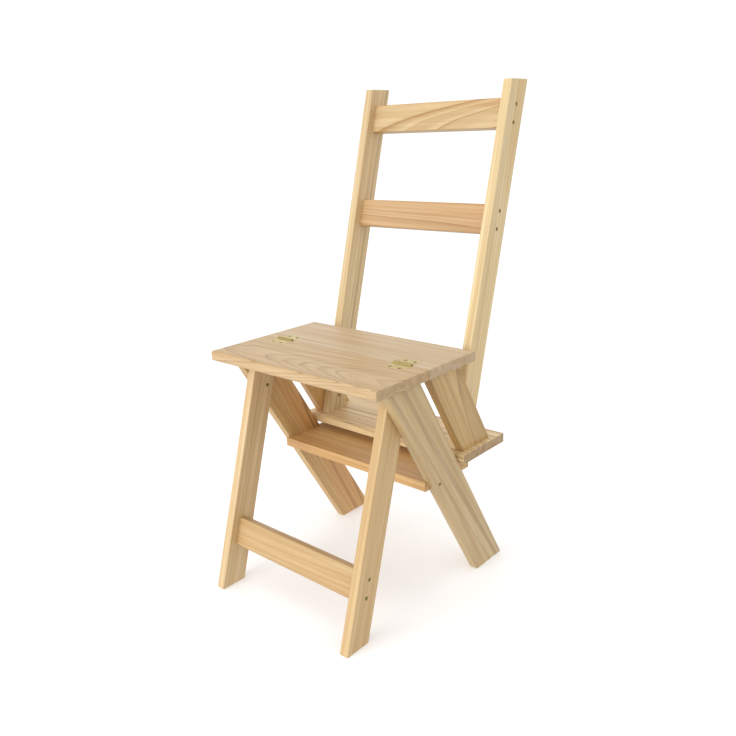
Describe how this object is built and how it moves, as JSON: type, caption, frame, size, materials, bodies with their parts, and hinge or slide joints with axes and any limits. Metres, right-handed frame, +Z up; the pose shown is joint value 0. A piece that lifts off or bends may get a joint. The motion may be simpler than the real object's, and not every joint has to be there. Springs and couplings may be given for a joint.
{
  "type": "convertible step ladder chair",
  "caption": "Pine chair whose rear half folds forwards on brass hinges to make a step ladder with three treads.",
  "frame": {"origin": "middle of the footprint's box, on the floor, in the chair state", "axes": "+X towards the sitter's left, +Y to the back of the chair, +Z up"},
  "size_m": [0.396, 0.5319, 0.9],
  "materials": {
    "pine_seat": "planed and sanded pine, thin matt lacquer",
    "pine_step": "planed and sanded pine, thin matt lacquer",
    "pine_frame": "planed and sanded pine, thin matt lacquer",
    "beech_dowel": "plain beech, glued in",
    "brass": "rolled brass, lightly polished",
    "zinc_screw": "yellow zinc plated, dull"
  },
  "bodies": {
    "front_frame": {"front_leg_left": "pine_frame", "front_leg_right": "pine_frame", "front_rail": "pine_frame", "front_rail_screws": "zinc_screw", "front_stringer_left": "pine_frame", "front_stringer_right": "pine_frame", "hinge_leaf_front_left": "brass", "hinge_leaf_front_right": "brass", "hinge_pin_left": "brass", "hinge_pin_right": "brass", "hinge_screws_front": "brass", "leg_screws": "zinc_screw", "lower_step": "pine_step", "lower_step_screws": "zinc_screw", "seat_front_board": "pine_seat", "seat_front_dowels": "beech_dowel"},
    "rear_frame": {"back_post_left": "pine_frame", "back_post_right": "pine_frame", "hinge_leaf_rear_left": "brass", "hinge_leaf_rear_right": "brass", "hinge_screws_rear": "brass", "middle_slat": "pine_frame", "post_screws": "zinc_screw", "rear_stringer_left": "pine_frame", "rear_stringer_right": "pine_frame", "seat_rear_board": "pine_seat", "seat_rear_dowels": "beech_dowel", "slat_screws": "zinc_screw", "top_slat": "pine_frame", "top_step": "pine_step", "top_step_dowels": "beech_dowel"}
  },
  "joints": [
    {"name": "seat_fold", "type": "hinge", "parent": "front_frame", "child": "rear_frame", "pos_m": [0, -0.07305, 0.45], "axis": [1, 0, 0], "range_deg": [0, 180]}
  ]
}
